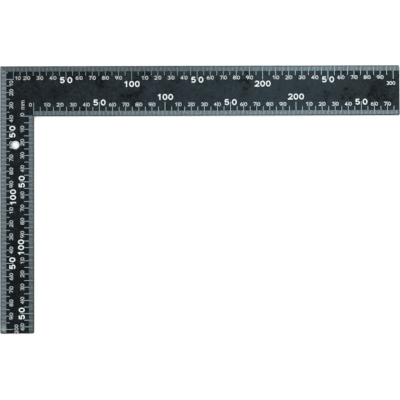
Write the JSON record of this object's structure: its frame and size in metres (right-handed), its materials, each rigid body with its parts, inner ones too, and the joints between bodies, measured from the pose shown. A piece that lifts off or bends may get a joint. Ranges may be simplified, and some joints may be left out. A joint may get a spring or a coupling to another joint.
{
  "type": "steel square",
  "caption": "Flat L-shaped black steel square with a hanging hole in the short arm and white-filled millimetre scales along the edges of both arms.",
  "frame": {"origin": "middle of the bounding box of the two arms, on the back face that the square lies on", "axes": "+X along the blade (long arm) from the heel to its end, -Y along the tongue (short arm) from the heel to its end, +Z out of the graduated front face; the heel is at the -X, +Y corner"},
  "size_m": [0.3048, 0.2032, 0.0015],
  "materials": {
    "black_steel": "satin black oxide finish on steel, slightly blue",
    "white_paint": "flat white paint pressed into the marks"
  },
  "bodies": {
    "root": {"paint_blade_inner_100_digit_1": "white_paint", "paint_blade_inner_100_digit_2": "white_paint", "paint_blade_inner_100_digit_3": "white_paint", "paint_blade_inner_150_digit_1": "white_paint", "paint_blade_inner_150_digit_2": "white_paint", "paint_blade_inner_200_digit_1": "white_paint", "paint_blade_inner_200_digit_2": "white_paint", "paint_blade_inner_200_digit_3": "white_paint", "paint_blade_inner_250_digit_1": "white_paint", "paint_blade_inner_250_digit_2": "white_paint", "paint_blade_inner_50_digit_1": "white_paint", "paint_blade_inner_50_digit_2": "white_paint", "paint_blade_outer_100_digit_1": "white_paint", "paint_blade_outer_100_digit_2": "white_paint", "paint_blade_outer_100_digit_3": "white_paint", "paint_blade_outer_150_digit_1": "white_paint", "paint_blade_outer_150_digit_2": "white_paint", "paint_blade_outer_200_digit_1": "white_paint", "paint_blade_outer_200_digit_2": "white_paint", "paint_blade_outer_200_digit_3": "white_paint", "paint_blade_outer_250_digit_1": "white_paint", "paint_blade_outer_250_digit_2": "white_paint", "paint_blade_outer_50_digit_1": "white_paint", "paint_blade_outer_50_digit_2": "white_paint", "paint_tongue_inner_100_digit_1": "white_paint", "paint_tongue_inner_100_digit_2": "white_paint", "paint_tongue_inner_100_digit_3": "white_paint", "paint_tongue_inner_150_digit_1": "white_paint", "paint_tongue_inner_150_digit_2": "white_paint", "paint_tongue_inner_50_digit_1": "white_paint", "paint_tongue_inner_50_digit_2": "white_paint", "paint_tongue_outer_100_digit_1": "white_paint", "paint_tongue_outer_100_digit_2": "white_paint", "paint_tongue_outer_100_digit_3": "white_paint", "paint_tongue_outer_150_digit_1": "white_paint", "paint_tongue_outer_150_digit_2": "white_paint", "paint_tongue_outer_50_digit_1": "white_paint", "paint_tongue_outer_50_digit_2": "white_paint", "steel_plate": "black_steel"}
  },
  "joints": []
}
